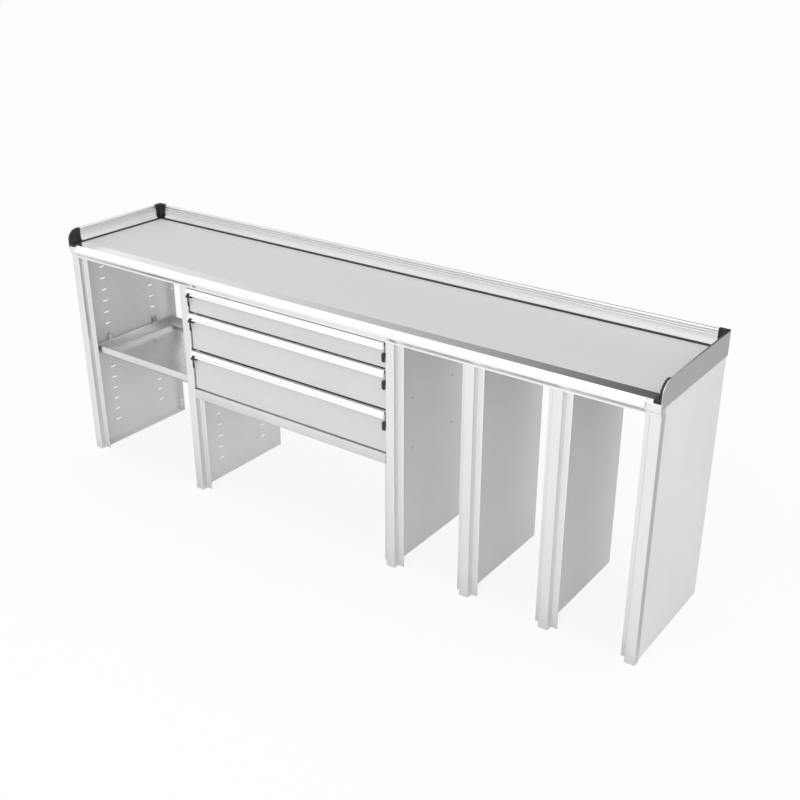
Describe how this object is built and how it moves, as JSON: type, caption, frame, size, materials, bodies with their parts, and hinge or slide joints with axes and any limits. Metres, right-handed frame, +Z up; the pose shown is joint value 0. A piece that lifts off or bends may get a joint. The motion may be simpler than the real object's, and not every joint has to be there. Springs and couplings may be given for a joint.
{
  "type": "workbench with drawers",
  "caption": "Long aluminium workbench with a lipped worktop, open bays, a hung tray shelf and a stack of full-extension drawers between slotted side panels.",
  "frame": {"origin": "middle of the footprint, on the floor", "axes": "+X along the bench to the right, -Y out of the front, +Z up"},
  "size_m": [2.552, 0.513, 0.98],
  "materials": {
    "upright_aluminium": "satin natural anodised extrusion",
    "edge_aluminium": "satin natural anodised extrusion",
    "grip_aluminium": "bright satin anodised extrusion",
    "panel_sheet": "satin bare aluminium sheet",
    "drawer_sheet": "pale grey powder coat, satin",
    "shelf_sheet": "mill finish sheet with a faint rolling grain",
    "bright_steel": "bright zinc-plated steel",
    "black_plastic": "moulded black plastic, fine grain",
    "grey_plastic": "moulded pale grey plastic",
    "laminate": "light grey laminate, fine matt texture",
    "black_rubber": "matt black sealing strip"
  },
  "bodies": {
    "bench": {"corner_cap_left": "black_plastic", "corner_cap_right": "black_plastic", "drawer_1_slide_outer_left": "bright_steel", "drawer_1_slide_outer_right": "bright_steel", "drawer_2_slide_outer_left": "bright_steel", "drawer_2_slide_outer_right": "bright_steel", "drawer_3_slide_outer_left": "bright_steel", "drawer_3_slide_outer_right": "bright_steel", "drawer_frame_left": "panel_sheet", "drawer_frame_right": "panel_sheet", "drawer_front_rail": "upright_aluminium", "edge_lip_back": "edge_aluminium", "edge_lip_left": "edge_aluminium", "edge_lip_right": "edge_aluminium", "front_edge_profile": "edge_aluminium", "front_profile_end_left": "grey_plastic", "front_profile_end_right": "grey_plastic", "lip_end_cap_left": "black_plastic", "lip_end_cap_right": "black_plastic", "shelf_front_lip": "upright_aluminium", "shelf_hanger_left_front": "bright_steel", "shelf_hanger_left_rear": "bright_steel", "shelf_hanger_right_front": "bright_steel", "shelf_hanger_right_rear": "bright_steel", "shelf_tray": "shelf_sheet", "side_panel_1": "panel_sheet", "side_panel_2": "panel_sheet", "side_panel_3": "panel_sheet", "side_panel_4": "panel_sheet", "side_panel_5": "panel_sheet", "side_panel_6": "panel_sheet", "upright_1": "upright_aluminium", "upright_2": "upright_aluminium", "upright_3": "upright_aluminium", "upright_4": "upright_aluminium", "upright_5": "upright_aluminium", "upright_6": "upright_aluminium", "worktop_board": "laminate", "worktop_gasket": "black_rubber"},
    "drawer_1": {"drawer_1_box": "drawer_sheet", "drawer_1_front": "drawer_sheet", "drawer_1_grip": "grip_aluminium", "drawer_1_catch_left": "black_plastic", "drawer_1_catch_right": "black_plastic"},
    "drawer_1_slides": {"drawer_1_slide_middle_left": "bright_steel", "drawer_1_slide_middle_right": "bright_steel"},
    "drawer_2": {"drawer_2_box": "drawer_sheet", "drawer_2_front": "drawer_sheet", "drawer_2_grip": "grip_aluminium", "drawer_2_catch_left": "black_plastic", "drawer_2_catch_right": "black_plastic"},
    "drawer_2_slides": {"drawer_2_slide_middle_left": "bright_steel", "drawer_2_slide_middle_right": "bright_steel"},
    "drawer_3": {"drawer_3_box": "drawer_sheet", "drawer_3_front": "drawer_sheet", "drawer_3_grip": "grip_aluminium", "drawer_3_catch_left": "black_plastic", "drawer_3_catch_right": "black_plastic"},
    "drawer_3_slides": {"drawer_3_slide_middle_left": "bright_steel", "drawer_3_slide_middle_right": "bright_steel"}
  },
  "joints": [
    {"name": "drawer_1_pull", "type": "slide", "parent": "bench", "child": "drawer_1", "axis": [0, -1, 0], "range_m": [0, 0.4]},
    {"name": "drawer_1_slides_run", "type": "slide", "parent": "bench", "child": "drawer_1_slides", "axis": [0, -1, 0], "range_m": [0, 0.2]},
    {"name": "drawer_2_pull", "type": "slide", "parent": "bench", "child": "drawer_2", "axis": [0, -1, 0], "range_m": [0, 0.4]},
    {"name": "drawer_2_slides_run", "type": "slide", "parent": "bench", "child": "drawer_2_slides", "axis": [0, -1, 0], "range_m": [0, 0.2]},
    {"name": "drawer_3_pull", "type": "slide", "parent": "bench", "child": "drawer_3", "axis": [0, -1, 0], "range_m": [0, 0.4]},
    {"name": "drawer_3_slides_run", "type": "slide", "parent": "bench", "child": "drawer_3_slides", "axis": [0, -1, 0], "range_m": [0, 0.2]}
  ],
  "couplings": [
    {"joint": "drawer_1_slides_run", "follows": "drawer_1_pull", "ratio": 0.5},
    {"joint": "drawer_2_slides_run", "follows": "drawer_2_pull", "ratio": 0.5},
    {"joint": "drawer_3_slides_run", "follows": "drawer_3_pull", "ratio": 0.5}
  ]
}
